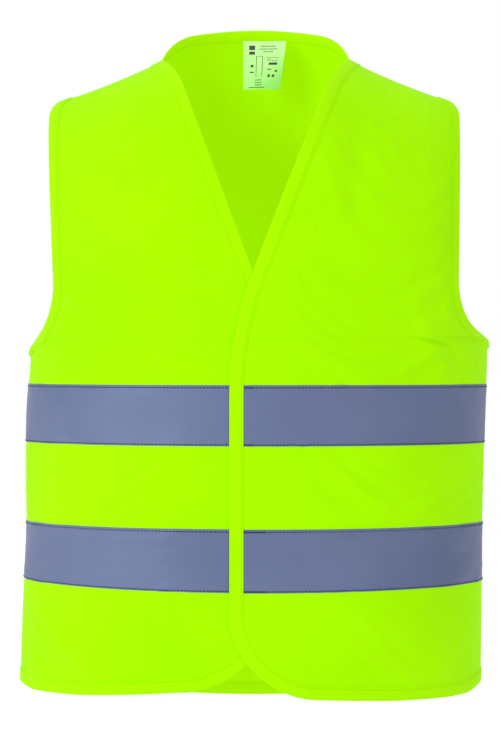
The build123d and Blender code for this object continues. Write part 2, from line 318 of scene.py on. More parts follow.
class Sheet:
    """A panel of cloth: a grid of points, read smoothly at any row and column between them."""

    def __init__(self, grid, turn):
        self.turn = turn
        self.rows, self.columns = grid.shape[0] - 1, grid.shape[1] - 1
        self.set(grid)

    def set(self, grid):
        tall = np.concatenate([[2 * grid[0] - grid[1]], grid, [2 * grid[-1] - grid[-2]]])
        first, last = 2 * tall[:, :1] - tall[:, 1:2], 2 * tall[:, -1:] - tall[:, -2:-1]
        self.points = np.concatenate([first, tall, last], 1)
        self.grid = grid

    def at(self, row, column):
        """Points on the cloth, by Catmull-Rom interpolation."""
        row, column = np.broadcast_arrays(np.asarray(row, float), np.asarray(column, float))
        weights, starts = [], []
        for value, most in ((row, self.rows), (column, self.columns)):
            value = np.clip(value, 0, most)
            start = np.minimum(value.astype(int), most - 1)
            f = value - start
            before, after = -0.5 * f + f**2 - 0.5 * f**3, 0.5 * f + 2 * f**2 - 1.5 * f**3
            weights.append([before, 1 - 2.5 * f**2 + 1.5 * f**3, after, -0.5 * f**2 + 0.5 * f**3])
            starts.append(start)
        found = 0
        for i in range(4):
            for j in range(4):
                share = (weights[0][i] * weights[1][j])[..., None]
                found = found + share * self.points[starts[0] + i, starts[1] + j]
        return found

    def slopes(self, row, column):
        """How the point moves for one more row, and for one more column."""
        step = 0.02
        ends = []
        for r, c in ((step, 0), (0, step)):
            low_r, high_r = np.clip(row - r, 0, self.rows), np.clip(row + r, 0, self.rows)
            low_c = np.clip(column - c, 0, self.columns)
            high_c = np.clip(column + c, 0, self.columns)
            run = (high_r - low_r) + (high_c - low_c)
            ends.append((self.at(high_r, high_c) - self.at(low_r, low_c)) / run[..., None])
        return ends

    def outward(self, row, column):
        """The unit normal on the outer face."""
        by_row, by_column = self.slopes(row, column)
        return unit(np.cross(by_column, by_row)) * self.turn

    def off(self, row, column, distance):
        """Points a distance outside the cloth."""
        return self.at(row, column) + self.outward(row, column) * np.asarray(distance)[..., None]

    def beside(self, row, column, hand, distances):
        """Lines a distance inwards from a line on the cloth, as rows and columns, and the way inwards."""
        line = self.at(row, column)
        ahead = unit(np.gradient(line, axis=0))
        inward = unit(np.cross(self.outward(row, column), ahead)) * hand
        pace = 0.002
        found, walked = [], 0.0
        row, column = np.array(row, float), np.array(column, float)
        for distance in distances:
            steps = max(1, int(math.ceil((distance - walked) / pace)))
            for _ in range(steps if distance > walked else 0):
                by_row, by_column = self.slopes(row, column)
                move = inward * (distance - walked) / steps
                rr, cc = (by_row**2).sum(-1), (by_column**2).sum(-1)
                rc = (by_row * by_column).sum(-1)
                mr, mc = (by_row * move).sum(-1), (by_column * move).sum(-1)
                scale = rr * cc - rc**2
                row = np.clip(row + (mr * cc - mc * rc) / scale, 0, self.rows)
                column = np.clip(column + (mc * rr - mr * rc) / scale, 0, self.columns)
            walked = max(walked, distance)
            found.append((row, column))
        return found, inward

    def strip(self, row, column, hand, distances):
        """Points and outward normals a distance inwards from an edge, straight in from its own line."""
        edge = self.at(row, column)
        found, inward = self.beside(row, column, hand, distances)
        made = []
        for distance, (near_row, near_column) in zip(distances, found):
            facing = self.outward(near_row, near_column)
            place = edge + inward * distance
            height = ((self.at(near_row, near_column) - place) * facing).sum(-1, keepdims=True)
            made.append((place + facing * height, facing))
        return made, inward


def unit(vectors):
    return vectors / np.maximum(np.linalg.norm(vectors, axis=-1, keepdims=True), 1e-12)


# ---- how the cloth hangs


def swayed(points):
    """The vest hangs a little unevenly: how far its sides and its middle shift, by height."""
    across, height = points[..., 0], points[..., 2]
    share = (across / HALF_WIDTH) ** 2

    def shift(heights, tables):
        """In millimetres, blended between the right side, the middle and the left side."""
        right, middle, left = [
            np.mean([np.interp(height + d, heights, table) for d in SMOOTHED_OVER], 0) for table in tables
        ]
        return middle + (np.where(across > 0, left, right) - middle) * share

    moved = points.copy()
    moved[..., 0] += shift(SWAY_HEIGHTS, SWAYS) / 1000
    moved[..., 2] += shift(LIFT_HEIGHTS, LIFTS) / 1000
    corner = (across - UNDERARM[0]) ** 2 + (height - UNDERARM[1]) ** 2
    moved[..., 2] += LEFT_CORNER_RAISED * np.exp(-corner / RAISED_OVER**2)
    return moved


# Shifts across and up in millimetres, at each height: right side, middle, left side
SMOOTHED_OVER = np.linspace(-0.012, 0.012, 7)
SWAY_HEIGHTS = [
    -0.56, -0.53, -0.475, -0.41, -0.35, -0.30, -0.262, -0.244, -0.222, -0.19, -0.12, -0.06, 0.01, 0.03
]
SWAYS = [
    [-2.6, -2.8, -1.0, 2.6, 1.6, 2.6, 6.0, 7.4, 5.5, 3.6, 2.4, 0.6, 2.6, 3.8],
    [0.0, 0.0, 0.0, 0.0, 0.0, 0.0, 0.0, 0.0, 0.0, 0.0, 0.4, 1.4, 2.6, 3.8],
    [-1.8, -1.2, -0.4, -0.2, 1.2, 2.8, 4.6, 4.8, 2.6, 2.8, 1.2, 0.8, 2.6, 3.8],
]
LIFT_HEIGHTS = [-0.56, -0.50, -0.452, -0.40, -0.36, -0.331, -0.281, -0.255, -0.23]
LIFTS = [
    [0.0, 0.2, 1.6, 1.9, 0.8, 0.9, 1.6, 0.5, 0.0],
    [0.0, -1.0, -2.8, 0.6, 0.0, 0.0, 1.0, 0.4, 0.0],
    [0.0, 0.0, -0.4, 1.2, 0.5, 0.0, 1.2, 0.4, 0.0],
]
LEFT_CORNER_RAISED, RAISED_OVER = 0.006, 0.018


def unrolled(across, height):
    """A place on the torso's front as distances round it from the middle, and up."""
    angles = np.linspace(-math.pi / 2, math.pi / 2, 721)
    steps = np.hypot(HALF_WIDTH * np.cos(angles), HALF_DEPTH * np.sin(angles)) * (angles[1] - angles[0])
    round_it = np.cumsum(steps) - steps.sum() / 2
    angle = np.arcsin(np.clip(np.divide(across, HALF_WIDTH), -1, 1))
    return np.stack(np.broadcast_arrays(np.interp(angle, angles, round_it), height), -1)


def creased(sheet, creases):
    """Raises a soft fold along each line on the front from start to end, to a height over a width."""
    row, column = np.mgrid[0 : sheet.rows + 1, 0 : sheet.columns + 1].astype(float)
    normals = sheet.outward(row, column)
    places = unrolled(sheet.grid[..., 0], sheet.grid[..., 2])
    push = np.zeros(row.shape)
    for start, end, width, height in creases:
        start = unrolled(*start)
        along = unrolled(*end) - start
        share = ((places - start) @ along) / (along @ along)
        nearest = start + np.clip(share, 0, 1)[..., None] * along
        away = np.linalg.norm(places - nearest, axis=-1)
        fade = np.cos(np.clip(share - 0.5, -0.75, 0.75) * math.pi * 2 / 3) ** 2
        push += height * fade * np.exp(-((away / width) ** 2))
    push *= np.clip((sheet.columns - column) / 6, 0, 1)
    sheet.set(sheet.grid + normals * push[..., None])


# Folds that hang in the cloth: from, to, width and height
CREASES = {
    "right": [
        ((-0.15, -0.402), (-0.188, -0.438), 0.0065, -0.0026),
        ((-0.132, -0.414), (-0.178, -0.45), 0.007, -0.0018),
        ((-0.138, -0.402), (-0.184, -0.45), 0.006, 0.0016),
        ((-0.166, -0.398), (-0.194, -0.424), 0.006, 0.0018),
        ((-0.164, -0.436), (-0.192, -0.452), 0.0055, 0.0016),
        ((-0.188, -0.318), (-0.152, -0.338), 0.006, 0.0016),
        ((-0.168, -0.318), (-0.13, -0.336), 0.0055, -0.0013),
        ((-0.15, -0.275), (-0.19, -0.33), 0.012, -0.0015),
        ((-0.19, -0.475), (-0.118, -0.53), 0.014, 0.0024),
        ((-0.195, -0.5), (-0.14, -0.538), 0.011, -0.0018),
        ((-0.06, -0.34), (-0.12, -0.385), 0.016, 0.0014),
        ((-0.15, -0.15), (-0.085, -0.185), 0.018, 0.0012),
    ],
    "left": [
        ((0.062, -0.035), (0.07, -0.15), 0.012, 0.0016),
        ((0.092, -0.05), (0.086, -0.165), 0.012, -0.0014),
        ((0.134, -0.2), (0.166, -0.275), 0.011, 0.002),
        ((0.152, -0.215), (0.184, -0.29), 0.009, -0.0018),
        ((0.15, -0.452), (0.19, -0.434), 0.006, 0.0016),
        ((0.162, -0.428), (0.193, -0.418), 0.006, -0.0014),
        ((0.158, -0.46), (0.192, -0.47), 0.0065, -0.0014),
        ((0.1, -0.35), (0.165, -0.375), 0.015, 0.0014),
        ((0.11, -0.48), (0.18, -0.52), 0.016, 0.0014),
    ],
}


def holds(sheet, side):
    """How firmly each point is held: the shoulders, and the strips along the closure and the edges."""
    row, column = np.mgrid[0 : sheet.rows + 1, 0 : sheet.columns + 1].astype(float)
    shoulders = np.clip(1.1 - row / EASED_ROWS, 0, 1)
    sides = np.minimum(column, sheet.columns - column)
    if side:
        low_down = np.clip((row - ROWS + 20) / 12, 0, 1)
        closure = np.clip(1.2 - column / (sheet.columns * (0.22 + 0.2 * low_down)), 0, 1)
        shoulders = np.maximum(shoulders, closure)
        sides = sheet.columns - column
    seams = np.clip(1.2 - sides / np.where(row < ARM_ROWS, 5, 4), 0, 1)
    hem_ends = np.clip((row - ROWS + 18) / 10, 0, 1) * np.clip(1.6 - sides / 8, 0, 1)
    return np.clip(np.maximum.reduce([shoulders, seams, hem_ends]), LEAST_HELD, 1)


def taped(sheet):
    """1 where a tape stiffens the cloth and along the bound edges, 0 where the knit can give."""
    row = np.mgrid[0 : sheet.rows + 1, 0 : sheet.columns + 1][0].astype(float)
    firm = np.zeros(row.shape)
    for top, bottom in tape_rows.values():
        firm = np.maximum(firm, np.clip(1.5 - np.abs(row - (top + bottom) / 2) / (bottom - top) * 2, 0, 1))
    firm[-2:], firm[:, :1], firm[:, -1:] = 1, 1, 1
    return firm


def simulate(sheets):
    """Lets the cloth settle on the torso under its weight: a little slack between the tapes, which pull."""
    points, faces, hold, firm, spots = [], [], [], [], {}
    for name, sheet in sheets.items():
        index = np.arange(sheet.grid[..., 0].size).reshape(sheet.grid.shape[:2]) + sum(map(len, points))
        points.append(sheet.grid.reshape(-1, 3))
        hold.append(holds(sheet, SIDES.get(name, 0)).ravel())
        firm.append(taped(sheet).ravel())
        if name in SIDES:
            seam = spots["back"][ARM_ROWS:, -1 if name == "left" else 0]
            index[ARM_ROWS:, -1] = seam
        spots[name] = index
        quads = np.stack([index[:-1, :-1], index[:-1, 1:], index[1:, 1:], index[1:, :-1]], -1).reshape(-1, 4)
        faces.append(quads if sheet.turn > 0 else quads[:, ::-1])
    points, faces = np.concatenate(points), np.concatenate(faces)
    hold, firm = np.concatenate(hold), np.concatenate(firm)

    mesh = bpy.data.meshes.new("draping")
    mesh.from_pydata(points.tolist(), [], faces.tolist())
    cloth = new_object("draping", mesh)
    for group_name, weights in (("hold", hold), ("firm", firm)):
        group = cloth.vertex_groups.new(name=group_name)
        for vertex, weight in enumerate(weights):
            group.add([vertex], float(weight), "REPLACE")
    torso_mesh = mesh.copy()
    normals = np.zeros(len(points) * 3, np.float32)
    mesh.vertices.foreach_get("normal", normals)
    inner = points - normals.reshape(-1, 3) * TORSO_GAP
    torso_mesh.vertices.foreach_set("co", inner.astype(np.float32).ravel())
    torso = new_object("torso", torso_mesh)
    torso.modifiers.new("touch", "COLLISION")
    torso.collision.thickness_outer = TOUCH
    torso.collision.cloth_friction = 8

    drape = cloth.modifiers.new("drape", "CLOTH")
    settings = drape.settings
    settings.quality = 6
    settings.mass = 0.12
    settings.tension_stiffness = settings.compression_stiffness = 12
    settings.shear_stiffness = 5
    settings.bending_stiffness = 1.5
    settings.air_damping = 4
    settings.vertex_group_mass = "hold"
    settings.pin_stiffness = 1.0
    settings.vertex_group_shrink = "firm"
    settings.shrink_min = -SLACK
    settings.shrink_max = 0.0
    drape.collision_settings.distance_min = TOUCH
    drape.collision_settings.collision_quality = 2
    scene = bpy.context.scene
    for step in range(1, DRAPE_FRAMES + 1):
        scene.frame_set(step)
    settled = cloth.evaluated_get(bpy.context.evaluated_depsgraph_get()).to_mesh()
    found = np.zeros(len(points) * 3, np.float32)
    settled.vertices.foreach_get("co", found)
    facing = normals.reshape(-1, 3)
    raised = ((found.reshape(-1, 3) - points) * facing).sum(1, keepdims=True)
    moved = facing * np.clip(raised - np.median(raised), -MOST_MOVED, MOST_MOVED)
    scene.frame_set(1)
    for made in (cloth, torso):
        bpy.data.objects.remove(made)
    for used in (mesh, torso_mesh):
        bpy.data.meshes.remove(used)
    for name, sheet in sheets.items():
        sheet.set(sheet.grid + moved[spots[name]] * (1 - holds(sheet, SIDES.get(name, 0)))[..., None])


# ---- meshes


def new_object(name, mesh):
    piece = bpy.data.objects.new(name, mesh)
    bpy.context.scene.collection.objects.link(piece)
    return piece


def slab(name, inner, outer, material, sharp=40):
    """A closed thin piece between two grids of points, with its flat cloth coordinates as its UV map."""
    rows, columns = outer.shape[:2]
    count = rows * columns
    index = np.arange(count).reshape(rows, columns)
    quads = np.stack([index[:-1, :-1], index[:-1, 1:], index[1:, 1:], index[1:, :-1]], -1)
    top = quads.reshape(-1, 4)
    bottom = top[:, ::-1] + count
    rim = np.concatenate([index[0, :-1], index[:-1, -1], index[-1, :0:-1], index[:0:-1, 0]])
    after = np.roll(rim, -1)
    wall = np.stack([rim, rim + count, after + count, after], 1)
    faces = np.concatenate([top, bottom, wall])
    points = np.concatenate([outer.reshape(-1, 3), inner.reshape(-1, 3)])
    mesh = bpy.data.meshes.new(name)
    mesh.from_pydata(points.tolist(), [], faces.tolist())
    across = np.linalg.norm(np.diff(outer, axis=1), axis=-1)
    down = np.linalg.norm(np.diff(outer, axis=0), axis=-1)
    u = np.concatenate([np.zeros((rows, 1)), np.cumsum(across, 1)], 1)
    v = np.concatenate([np.zeros((1, columns)), np.cumsum(down, 0)], 0)
    flat = np.stack([u, np.repeat(v.mean(1)[:, None], columns, 1)], -1).reshape(-1, 2)
    flat = np.tile(flat, (2, 1))
    layer = mesh.uv_layers.new(name="flat")
    layer.data.foreach_set("uv", flat[faces.reshape(-1)].astype(np.float32).ravel())
    mesh.validate()
    finish_mesh(mesh, material, sharp)
    return new_object(name, mesh)


def finish_mesh(mesh, material, sharp):
    """Outward faces, smooth shading with sharp rims, and the material."""
    work = bmesh.new()
    work.from_mesh(mesh)
    bmesh.ops.recalc_face_normals(work, faces=work.faces)
    work.to_mesh(mesh)
    work.free()
    mesh.shade_smooth()
    mesh.set_sharp_from_angle(angle=math.radians(sharp))
    mesh.materials.append(material)


def panel(name, sheet, material, inner_material=None):
    """The cloth of one sheet, which can take its own material on its inner face, as the back does for its
    brighter painted backlight glow.
    """
    row = np.linspace(0, sheet.rows, sheet.rows * FINENESS + 1)[:, None]
    column = np.linspace(0, sheet.columns, sheet.columns * FINENESS + 1)[None, :]
    row, column = np.broadcast_arrays(row, column)
    half = np.full(row.shape, CLOTH / 2)
    made = slab(name, sheet.off(row, column, -half), sheet.off(row, column, half), material)
    if inner_material:
        made.data.materials.append(inner_material)
        count = (row.shape[0] - 1) * (row.shape[1] - 1)
        for face in range(count, 2 * count):
            made.data.polygons[face].material_index = 1
    return made


def binding(name, sheet, row, column, hand, material):
    """A strip folded over an edge: flat on both faces of the cloth and round at the edge."""
    lie = CLOTH / 2 + LAYER + BINDING_WALL / 2
    reach = np.array([1, 0.86, 0.7, 0.5, 0.3, 0.12, 0.03]) * BINDING_WIDTH
    crown = np.array([0, 0.10, 0.04, 0.22, 0.26, 0.2, 0.1]) * 0.001
    turn = np.radians([90, 60, 30, 0, -30, -60, -90])
    stops = sorted(set(reach.tolist() + [0.0]))
    lines, inward = sheet.strip(row, column, hand, stops)
    at_stop = dict(zip(stops, lines))
    middles, normals = [], []
    for distance, rise in zip(reach, crown):
        place, facing = at_stop[distance]
        normals.append(facing)
        middles.append(place + facing * (lie + rise))
    edge, edge_normal = at_stop[0.0]
    for angle in turn:
        way = edge_normal * math.sin(angle) - inward * math.cos(angle)
        middles.append(edge + way * lie)
        normals.append(way)
    for distance, rise in zip(reach[::-1], crown[::-1]):
        place, facing = at_stop[distance]
        middles.append(place - facing * (lie + rise))
        normals.append(-facing)
    middles, normals = np.stack(middles, 1), np.stack(normals, 1)
    half = normals * BINDING_WALL / 2
    return slab(name, middles - half, middles + half, material, 60)


def tape(name, sheet, rows, starts, material):
    """A band of tape that lies on the cloth between two rows, from a column at each row to the side."""
    share = np.linspace(0, 1, sheet.columns * 2 + 1)[None, :]
    row = np.linspace(rows[0], rows[1], TAPE_ROWS)[:, None] + 0 * share
    column = starts[:, None] + (sheet.columns - starts[:, None]) * share
    low = np.full(row.shape, CLOTH / 2 + LAYER)
    return slab(name, sheet.off(row, column, low), sheet.off(row, column, low + TAPE), material)


def flat_strip(name, lines, material):
    """A strip of cloth inside the vest, through lines of points and outward normals."""
    points, normals = (np.stack(part, 1) for part in zip(*lines))
    return slab(name, points + normals * (INSIDE - CLOTH), points + normals * INSIDE, material)


def stitch_run(sheet, row, column, out):
    """A line of stitches along rows and columns, a distance outside the cloth."""
    row, column = np.broadcast_arrays(np.asarray(row, float), np.asarray(column, float))
    facing = sheet.outward(row, column) * (1 if out > 0 else -1)
    return sheet.at(row, column) + facing * abs(out), facing


def stitch_beside(sheet, row, column, hand, distance, out):
    """A line of stitches a distance inwards from an edge."""
    (points, facing), = sheet.strip(row, column, hand, [distance])[0]
    facing = facing * (1 if out > 0 else -1)
    return points + facing * abs(out), facing


def stitching(name, runs, material, length=0.0028, gap=STITCH_GAP, width=0.0007):
    """Threads along lines of points: each run is (points, outward normals)."""
    ring = np.radians(np.arange(0, 360, 360 // STITCH_SIDES))
    points, faces = [], []
    for line, normals in runs:
        walked = np.concatenate([[0], np.cumsum(np.linalg.norm(np.diff(line, axis=0), axis=1))])
        count = int(walked[-1] / (length + gap))
        middle = (np.arange(count) + 0.5) * walked[-1] / max(count, 1)
        for spot in middle:
            sides = [
                np.array([np.interp(spot + s, walked, line[:, k]) for k in range(3)])
                for s in (-length / 2, 0, length / 2)
            ]
            up = np.array([np.interp(spot, walked, normals[:, k]) for k in range(3)])
            ahead = unit(sides[2] - sides[0])
            across = unit(np.cross(up, ahead))
            up = np.cross(ahead, across)
            base = len(points)
            for place, size, lift in STITCH_STATIONS:
                centre = sides[1] + ahead * place * length + up * lift * width * 0.5
                for angle in ring:
                    points.append(
                        centre
                        + across * math.cos(angle) * size * width / 2
                        + up * math.sin(angle) * size * width / 2.4
                    )
            last = base + (len(STITCH_STATIONS) - 1) * STITCH_SIDES
            for first in range(base, last, STITCH_SIDES):
                for k in range(STITCH_SIDES):
                    a, b = first + k, first + (k + 1) % STITCH_SIDES
                    faces.append((a, b, b + STITCH_SIDES, a + STITCH_SIDES))
            faces.append(tuple(range(base + STITCH_SIDES - 1, base - 1, -1)))
            faces.append(tuple(range(last, last + STITCH_SIDES)))
    mesh = bpy.data.meshes.new(name)
    mesh.from_pydata([tuple(p) for p in points], [], faces)
    mesh.shade_smooth()
    mesh.materials.append(material)
    return new_object(name, mesh)


# ---- materials


def material_with(name, **inputs):
    """A new material and its node tree, with constant values on the shader's own sockets."""
    made = bpy.data.materials.new(name)
    made.use_nodes = True
    shader = made.node_tree.nodes["Principled BSDF"]
    for socket, value in inputs.items():
        shader.inputs[socket.replace("_", " ")].default_value = value
    return made, made.node_tree, shader


def node(tree, kind, **settings):
    """A new node, with values for its inputs and its own settings."""
    made = tree.nodes.new(kind)
    for key, value in settings.items():
        if key in made.inputs:
            made.inputs[key].default_value = value
        else:
            setattr(made, key, value)
    return made


def textured(tree, shader, low, high, pattern, scale, bump_height, strength):
    """Colour that varies softly over the piece, and a fine raised pattern in the cloth's own directions."""
    link = tree.links.new
    flat = node(tree, "ShaderNodeUVMap", uv_map="flat")
    place = node(tree, "ShaderNodeTexCoord")
    cloud = node(tree, "ShaderNodeTexNoise", Scale=9, Detail=4)
    link(place.outputs["Object"], cloud.inputs["Vector"])
    ramp = node(tree, "ShaderNodeValToRGB")
    ramp.color_ramp.elements[0].position = 0.35
    ramp.color_ramp.elements[1].position = 0.65
    ramp.color_ramp.elements[0].color = (*low, 1)
    ramp.color_ramp.elements[1].color = (*high, 1)
    link(cloud.outputs["Fac"], ramp.inputs["Fac"])
    link(ramp.outputs["Color"], shader.inputs["Base Color"])
    height = pattern(tree, flat.outputs["UV"], scale)
    bump = node(tree, "ShaderNodeBump", Strength=strength, Distance=bump_height)
    link(height, bump.inputs["Height"])
    link(bump.outputs["Normal"], shader.inputs["Normal"])


def knit(tree, vector, scale):
    """Fine wales of a warp knit with a slight zigzag."""
    wales = node(tree, "ShaderNodeTexWave", bands_direction="X", Scale=scale, Distortion=0.6)
    wales.inputs["Detail Scale"].default_value = 2.0
    courses = node(tree, "ShaderNodeTexWave", bands_direction="Y", Scale=scale * 1.3)
    joined = node(tree, "ShaderNodeMath", operation="MULTIPLY")
    for wave, socket in ((wales, 0), (courses, 1)):
        tree.links.new(vector, wave.inputs["Vector"])
        tree.links.new(wave.outputs["Fac"], joined.inputs[socket])
    return joined.outputs[0]


def beads(tree, vector, scale):
    """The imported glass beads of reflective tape."""
    cells = node(tree, "ShaderNodeTexVoronoi", feature="F1", Scale=scale)
    tree.links.new(vector, cells.inputs["Vector"])
    return cells.outputs["Distance"]


def cloth_material(name, low, high, glow, scale=290):
    """Fluorescent knit: the glow is painted light, a constant emission that stands in for its fluorescence
    and keeps it bright where it lies in shade.
    """
    made, tree, shader = material_with(
        name,
        Roughness=0.85,
        Sheen_Weight=0.12,
        Sheen_Roughness=0.6,
        Sheen_Tint=(0.5, 1.0, 0.0, 1),
        Specular_IOR_Level=0.3,
        Specular_Tint=(0.45, 1.0, 0.0, 1),
        Emission_Color=(*glow, 1),
        Emission_Strength=1.0,
    )
    textured(tree, shader, low, high, knit, scale, 0.0002, 0.5)
    return made


# Painted light: each glow is a constant emission, though the cloth is no lamp. The fronts' glow stands in for
# fluorescence and keeps the knit bright in shade.
GLOW = (0.162, 0.38, 0.0)
# Painted light shining through the thin back from behind: a brighter glow for the back's inner face, its
# bindings and the seam allowances.
BACKLIGHT_GLOW = (0.245, 0.46, 0.0)
# The bindings' glow is a little brighter than the fronts': a painted lighter strip along the edges.
BOUND_GLOW = (0.175, 0.382, 0.0)
CLOTH_MATERIAL = cloth_material("knit", (0.155, 0.40, 0.0), (0.180, 0.45, 0.0), GLOW)
# A lit copy of the knit, with the painted backlight glow.
BACKLIT_KNIT_MATERIAL = cloth_material("knit_backlit", (0.155, 0.40, 0.0), (0.180, 0.45, 0.0), BACKLIGHT_GLOW)
BINDING_MATERIAL = cloth_material(
    "binding", (0.162, 0.40, 0.0), (0.182, 0.44, 0.0), BOUND_GLOW, scale=420
)
# A lit copy of the binding, with the same painted backlight glow.
BACKLIT_BINDING_MATERIAL = cloth_material(
    "binding_backlit", (0.155, 0.40, 0.0), (0.175, 0.44, 0.0), BACKLIGHT_GLOW, scale=420
)


def plain_material(name, low, high, pattern, scale, strength=0.6, **inputs):
    """A material without glow, in a fine pattern."""
    made, tree, shader = material_with(name, **inputs)
    textured(tree, shader, low, high, pattern, scale, 0.0001, strength)
    return made


TAPE_MATERIAL = plain_material(
    "reflective_tape", (0.086, 0.112, 0.208), (0.101, 0.130, 0.236), beads, 2600, 0.35,
    Roughness=0.48, Metallic=0.25, Specular_IOR_Level=0.35,
)
NAVY_THREAD = plain_material(
    "navy_thread", (0.012, 0.017, 0.055), (0.018, 0.026, 0.075), beads, 2000, Roughness=0.6
)
# The green thread, hooks and loops carry a weaker painted glow: constant emission standing in for
# fluorescence.
GREEN_THREAD = cloth_material("green_thread", (0.17, 0.43, 0.0), (0.19, 0.47, 0.0), (0.08, 0.28, 0), 900)
LOOPS = cloth_material("loops", (0.2, 0.55, 0.002), (0.26, 0.66, 0.004), (0.06, 0.2, 0), 700)
HOOKS = cloth_material("hooks", (0.2, 0.55, 0.002), (0.25, 0.62, 0.004), (0.06, 0.2, 0), 450)
LABEL_MATERIAL = plain_material("label", (0.42, 0.84, 0.24), (0.5, 0.9, 0.32), knit, 900, Roughness=0.6)
LABEL_INK = plain_material(
    "label_ink", (0.03, 0.035, 0.03), (0.05, 0.055, 0.05), beads, 2000, Roughness=0.7
)


# ---- the vest


def build():
    sheets = {"back": Sheet(swayed(back_grid()), 1)}
    for name, side in SIDES.items():
        grid = front_grid(LAPS[name], FRONT_HEMS[name])
        grid[..., 0] *= side
        sheets[name] = Sheet(swayed(grid), -side)
    near = np.clip(1 - np.abs(sheets["left"].grid[..., 0]) / HALF_WIDTH, 0, 1)
    lifted = sheets["left"].grid.copy()
    lifted[..., 1] -= LIFT * np.clip(near * 4, 0, 1)
    sheets["left"].set(lifted)
    simulate(sheets)
    for name in SIDES:
        creased(sheets[name], CREASES[name])
    return sheets


tape_rows = {
    level: (row_at(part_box(f"back_{level}_tape")[1].z), row_at(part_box(f"back_{level}_tape")[0].z))
    for level in ("upper", "lower")
}
ARM_ROWS = DOME_ROWS + CHEST_ROWS
sheets = build()


def sewn(piece, body, nodes, with_pieces=()):
    """Puts a finished cloth piece on its body, in place of its CAD solids."""
    attach(piece, body)
    for extra in with_pieces:
        attach(extra, body)
    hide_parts(*nodes)


def attach(piece, body):
    """A front hangs from the back at the shoulder; any other piece rides its body."""
    if body in SIDES:
        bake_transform(piece)
    else:
        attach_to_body(piece, body)


def rim_of(sheet):
    """The rows and columns of a front's edge from the neck point to the side seam."""
    down = np.linspace(0, sheet.rows, sheet.rows * 3 + 1)
    across = np.linspace(0, sheet.columns, sheet.columns * 3 + 1)[1:]
    row = np.concatenate([down, np.full(len(across), float(sheet.rows))])
    column = np.concatenate([np.zeros(len(down)), across])
    return row, column


armhole = np.linspace(0, ARM_ROWS, ARM_ROWS * 3 + 1)
side_rows = np.linspace(ARM_ROWS, ROWS, 120)


def bind(name, body, sheet, row, column, hand):
    """A binding with its line of stitches on both faces: NAME_strip in place of NAME_binding."""
    # Bindings on the back are the lit copy, with the painted backlight glow.
    material = BACKLIT_BINDING_MATERIAL if body == "back" else BINDING_MATERIAL
    strip = binding(f"{name}_strip", sheet, row, column, hand, material)
    runs = [
        stitch_beside(sheet, row, column, hand, STITCH_IN, out) for out in (BINDING_FACE, -BINDING_FACE)
    ]
    thread = stitching(f"{name}_strip_stitches", runs, GREEN_THREAD)
    sewn(strip, body, [f"{name}_binding"], [thread])


def overlock(name, lines):
    """Rows of stitches on the inner face of the seam allowances."""
    runs = [(points + facing * (INSIDE - CLOTH), -facing) for points, facing in lines]
    return stitching(name, runs, GREEN_THREAD, gap=CLOSE_GAP, width=0.0005)


def band_starts(sheet, side, rows):
    """The column where the edge binding ends, at each row of a tape."""
    edge = np.linspace(rows[0] - 1, rows[1] + 1, 40)
    lines, _ = sheet.beside(edge, np.zeros(40), side, [BINDING_WIDTH + LAYER])
    return np.interp(np.linspace(rows[0], rows[1], TAPE_ROWS), lines[0][0], lines[0][1])


def add_tape(name, body, sheet, level, starts, tacked=False):
    """A tape with a line of stitches along each edge, and a bar tack where it starts at the closure."""
    node_name, name = f"{name}_{level}_tape", f"{name}_{level}_band"
    rows = tape_rows[level]
    band = tape(name, sheet, rows, starts, TAPE_MATERIAL)
    per_row = (rows[1] - rows[0]) / (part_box(node_name)[1].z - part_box(node_name)[0].z)
    runs, tacks = [], []
    for row, at_start in (
        (rows[0] + TOP_STITCH * per_row, starts[1]),
        (rows[1] - BOTTOM_STITCH * per_row, starts[-2]),
    ):
        column = np.linspace(at_start + 0.1, sheet.columns - 0.1, 200)
        runs.append(stitch_run(sheet, row, column, TAPE_FACE))
        if tacked:
            tack = np.linspace(at_start + 0.05, at_start + TACK_COLUMNS[level], 20)
            tacks += [stitch_run(sheet, row + shift, tack, TAPE_FACE + 0.0002) for shift in (-0.05, 0.05)]
    threads = [stitching(f"{name}_stitches", runs, NAVY_THREAD, gap=CLOSE_GAP, width=0.0010)]
    if tacked:
        threads.append(stitching(f"{name}_bar_tacks", tacks, NAVY_THREAD, gap=-0.0008, width=0.0008))
    sewn(band, body, [node_name], threads)


back = sheets["back"]
# The back's inner face is the lit copy of the knit, with the painted backlight glow.
back_cloth = panel("back_cloth", back, CLOTH_MATERIAL, BACKLIT_KNIT_MATERIAL)
sewn(back_cloth, "back", ["back_panel"])
neck_columns = BACK_COLUMNS / 2 * (1 + NECK_SHARE * np.linspace(-1, 1, 121))
bind("back_neck", "back", back, np.zeros(121), neck_columns, 1)
hem_columns = np.linspace(0, BACK_COLUMNS, BACK_COLUMNS * 3 + 1)
hem_rows = np.full(len(hem_columns), float(ROWS))
bind("back_hem", "back", back, hem_rows, hem_columns, -1)
for level in tape_rows:
    add_tape("back", "back", back, level, np.zeros(TAPE_ROWS))

